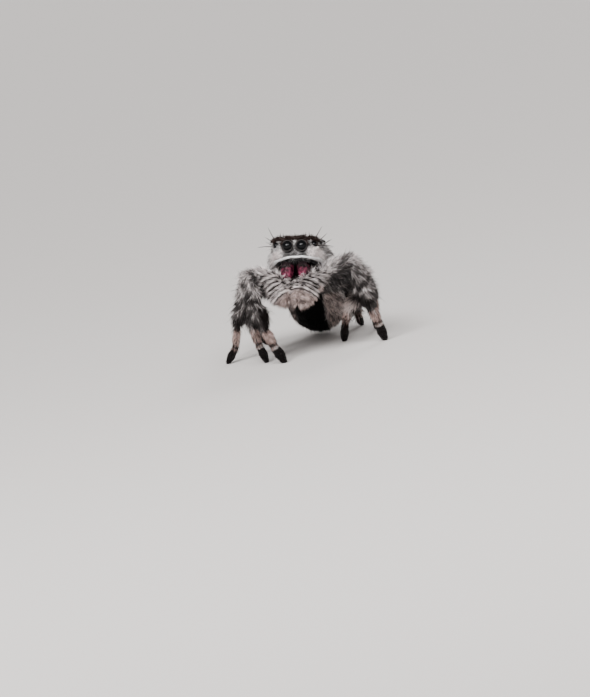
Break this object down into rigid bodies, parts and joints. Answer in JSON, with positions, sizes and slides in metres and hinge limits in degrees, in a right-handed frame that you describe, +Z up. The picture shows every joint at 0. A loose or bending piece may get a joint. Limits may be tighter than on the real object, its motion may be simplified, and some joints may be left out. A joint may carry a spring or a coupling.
{
  "type": "jumping spider",
  "caption": "Furry grey jumping spider standing with its head raised, its palps folded in front of magenta jaws and its abdomen hanging low behind.",
  "frame": {"origin": "on the floor, under the middle of the model's own box", "axes": "+Z up; the spider faces -Y, so +Y runs back along its length and +X is its own left"},
  "size_m": [0.0106, 0.0134, 0.0074],
  "materials": {
    "grey_coat": "short dense grey hair over black, with white markings",
    "dark_coat": "black and grey hair, mottled",
    "pale_coat": "long whitish hair",
    "black_coat": "sleek black hair",
    "eye": "wet black gloss",
    "jaw": "metallic magenta gloss"
  },
  "bodies": {
    "root": {"eye_front_middle_right": "eye", "eye_front_side_right": "eye", "eye_rear_small_right": "eye", "eye_rear_side_right": "eye", "chelicera_right": "jaw", "eye_front_middle_left": "eye", "eye_front_side_left": "eye", "eye_rear_small_left": "eye", "eye_rear_side_left": "eye", "chelicera_left": "jaw", "carapace": "grey_coat", "palp_right_femur": "pale_coat", "palp_right_tibia": "pale_coat", "palp_right_tarsus": "pale_coat", "palp_left_femur": "pale_coat", "palp_left_tibia": "pale_coat", "palp_left_tarsus": "pale_coat", "sternum_and_coxae": "dark_coat", "leg1_right_femur": "dark_coat", "leg1_right_patella": "grey_coat", "leg1_right_tibia": "dark_coat", "leg1_right_metatarsus": "pale_coat", "leg1_right_tarsus": "black_coat", "leg2_right_femur": "dark_coat", "leg2_right_patella": "grey_coat", "leg2_right_tibia": "dark_coat", "leg2_right_metatarsus": "pale_coat", "leg2_right_tarsus": "black_coat", "leg3_right_femur": "dark_coat", "leg3_right_patella": "grey_coat", "leg3_right_tibia": "dark_coat", "leg3_right_metatarsus": "pale_coat", "leg3_right_tarsus": "black_coat", "leg4_right_femur": "dark_coat", "leg4_right_patella": "grey_coat", "leg4_right_tibia": "dark_coat", "leg4_right_metatarsus": "pale_coat", "leg4_right_tarsus": "black_coat", "leg1_left_femur": "dark_coat", "leg1_left_patella": "grey_coat", "leg1_left_tibia": "dark_coat", "leg1_left_metatarsus": "pale_coat", "leg1_left_tarsus": "black_coat", "leg2_left_femur": "dark_coat", "leg2_left_patella": "grey_coat", "leg2_left_tibia": "dark_coat", "leg2_left_metatarsus": "pale_coat", "leg2_left_tarsus": "black_coat", "leg3_left_femur": "dark_coat", "leg3_left_patella": "grey_coat", "leg3_left_tibia": "dark_coat", "leg3_left_metatarsus": "pale_coat", "leg3_left_tarsus": "black_coat", "leg4_left_femur": "dark_coat", "leg4_left_patella": "grey_coat", "leg4_left_tibia": "dark_coat", "leg4_left_metatarsus": "pale_coat", "leg4_left_tarsus": "black_coat", "spinnerets": "grey_coat", "abdomen": "grey_coat"}
  },
  "joints": []
}
